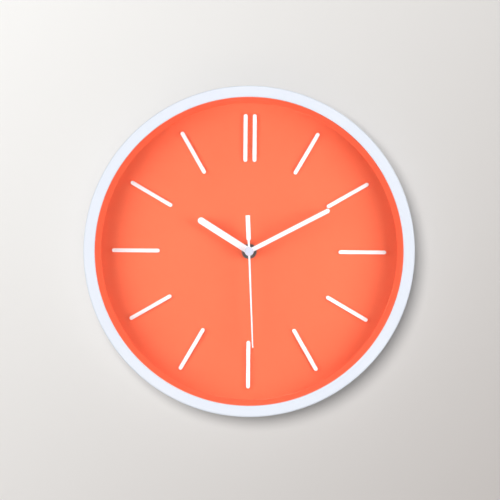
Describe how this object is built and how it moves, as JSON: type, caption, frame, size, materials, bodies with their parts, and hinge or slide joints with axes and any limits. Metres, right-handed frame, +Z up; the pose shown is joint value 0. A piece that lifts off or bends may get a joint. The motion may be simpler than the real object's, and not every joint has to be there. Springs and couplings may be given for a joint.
{
  "type": "wall clock",
  "caption": "Round quartz wall clock with a white rim, an orange dished dial, raised bar hour markers, three white hands and a battery movement with its gear train inside.",
  "frame": {"origin": "where the hands' axis meets the wall plane, at the rim's rear edge", "axes": "+Z up towards twelve, +Y into the wall, the face looks along -Y"},
  "size_m": [0.3, 0.042, 0.3],
  "materials": {
    "rim_white": "white injection-moulded ABS, semi-gloss",
    "dial_orange": "coral orange moulded ABS, fine satin",
    "lens_clear": "clear flat glass",
    "marker_white": "white moulded bars",
    "hand_white": "white enamel on stamped aluminium",
    "nut_dark": "dark nickel plated steel",
    "turned_brass": "turned brass",
    "seal_rubber": "black rubber",
    "screw_steel": "zinc plated steel",
    "hanger_steel": "zinc plated sheet steel",
    "case_black": "black moulded ABS, fine texture",
    "knob_black": "black moulded acetal",
    "train_white": "natural acetal",
    "motor_iron": "soft iron sheet",
    "bobbin_nylon": "nylon",
    "winding_copper": "enamelled copper wire",
    "board_green": "glass-fibre board with green mask",
    "chip_resin": "black epoxy",
    "crystal_can": "tinned can",
    "cell_steel": "nickel plated steel",
    "cell_sleeve": "plain dark shrink sleeve",
    "contact_plated": "nickel plated spring strip",
    "magnet_ferrite": "sintered magnet"
  },
  "bodies": {
    "clock_body": {"rim": "rim_white", "lens": "lens_clear", "dial": "dial_orange", "marker_12_left": "marker_white", "marker_12_right": "marker_white", "marker_01": "marker_white", "marker_02": "marker_white", "marker_03": "marker_white", "marker_04": "marker_white", "marker_05": "marker_white", "marker_06": "marker_white", "marker_07": "marker_white", "marker_08": "marker_white", "marker_09": "marker_white", "marker_10": "marker_white", "marker_11": "marker_white", "dial_screws": "screw_steel", "hanger_plate": "hanger_steel", "hanger_screws": "screw_steel", "threaded_bush": "turned_brass", "rubber_washer": "seal_rubber", "brass_washer": "turned_brass", "hand_nut": "nut_dark", "front_case": "case_black", "middle_plate": "train_white", "rear_case": "case_black", "stator": "motor_iron", "coil_core": "motor_iron", "coil_bobbin": "bobbin_nylon", "coil_winding": "winding_copper", "circuit_board": "board_green", "chip": "chip_resin", "quartz_crystal": "crystal_can", "contact_negative": "contact_plated", "contact_positive": "contact_plated"},
    "cell": {"battery_can": "cell_steel", "battery_cap": "cell_steel", "battery_sleeve": "cell_sleeve"},
    "rotor": {"rotor_pinion": "train_white", "rotor_magnet": "magnet_ferrite"},
    "intermediate": {"intermediate_wheel": "train_white"},
    "seconds": {"seconds_wheel": "train_white", "second_hand": "hand_white", "second_hand_cap": "hand_white", "second_hand_tube": "turned_brass"},
    "third": {"third_wheel": "train_white"},
    "centre": {"centre_wheel": "train_white"},
    "minutes": {"minute_arbor": "turned_brass", "clutch_spring": "contact_plated", "minute_hand": "hand_white"},
    "motion": {"motion_wheel": "train_white"},
    "hours": {"hour_wheel": "train_white", "hour_hand": "hand_white"},
    "knob": {"set_knob": "knob_black"}
  },
  "joints": [
    {"name": "second_hand_spin", "type": "hinge", "parent": "clock_body", "child": "seconds", "pos_m": [0, -0.01, 0], "axis": [0, 1, 0], "continuous": true},
    {"name": "rotor_spin", "type": "hinge", "parent": "clock_body", "child": "rotor", "pos_m": [0.00873, -0.01, 0.00921], "axis": [0, 1, 0], "continuous": true},
    {"name": "intermediate_spin", "type": "hinge", "parent": "clock_body", "child": "intermediate", "pos_m": [0.00573, -0.01, 0.00402], "axis": [0, 1, 0], "continuous": true},
    {"name": "third_spin", "type": "hinge", "parent": "clock_body", "child": "third", "pos_m": [-0.00459, -0.01, 0.00795], "axis": [0, 1, 0], "continuous": true},
    {"name": "centre_spin", "type": "hinge", "parent": "clock_body", "child": "centre", "pos_m": [0, -0.01, 0], "axis": [0, 1, 0], "continuous": true},
    {"name": "minute_hand_spin", "type": "hinge", "parent": "clock_body", "child": "minutes", "pos_m": [0, -0.01, 0], "axis": [0, 1, 0], "continuous": true},
    {"name": "motion_spin", "type": "hinge", "parent": "clock_body", "child": "motion", "pos_m": [-0.00739, -0.01, -0.0013], "axis": [0, 1, 0], "continuous": true},
    {"name": "hour_hand_spin", "type": "hinge", "parent": "clock_body", "child": "hours", "pos_m": [0, -0.01, 0], "axis": [0, 1, 0], "continuous": true},
    {"name": "set_knob_spin", "type": "hinge", "parent": "clock_body", "child": "knob", "pos_m": [-0.01489, -0.01, -0.0013], "axis": [0, 1, 0], "continuous": true},
    {"name": "battery_lift", "type": "slide", "parent": "clock_body", "child": "cell", "axis": [0, 1, 0], "range_m": [0, 0.016]}
  ],
  "couplings": [
    {"joint": "rotor_spin", "follows": "second_hand_spin", "ratio": 30},
    {"joint": "intermediate_spin", "follows": "second_hand_spin", "ratio": -6},
    {"joint": "third_spin", "follows": "second_hand_spin", "ratio": -0.13333},
    {"joint": "centre_spin", "follows": "second_hand_spin", "ratio": 0.016667},
    {"joint": "motion_spin", "follows": "minute_hand_spin", "ratio": -0.33333},
    {"joint": "hour_hand_spin", "follows": "minute_hand_spin", "ratio": 0.083333},
    {"joint": "set_knob_spin", "follows": "minute_hand_spin", "ratio": 1}
  ]
}
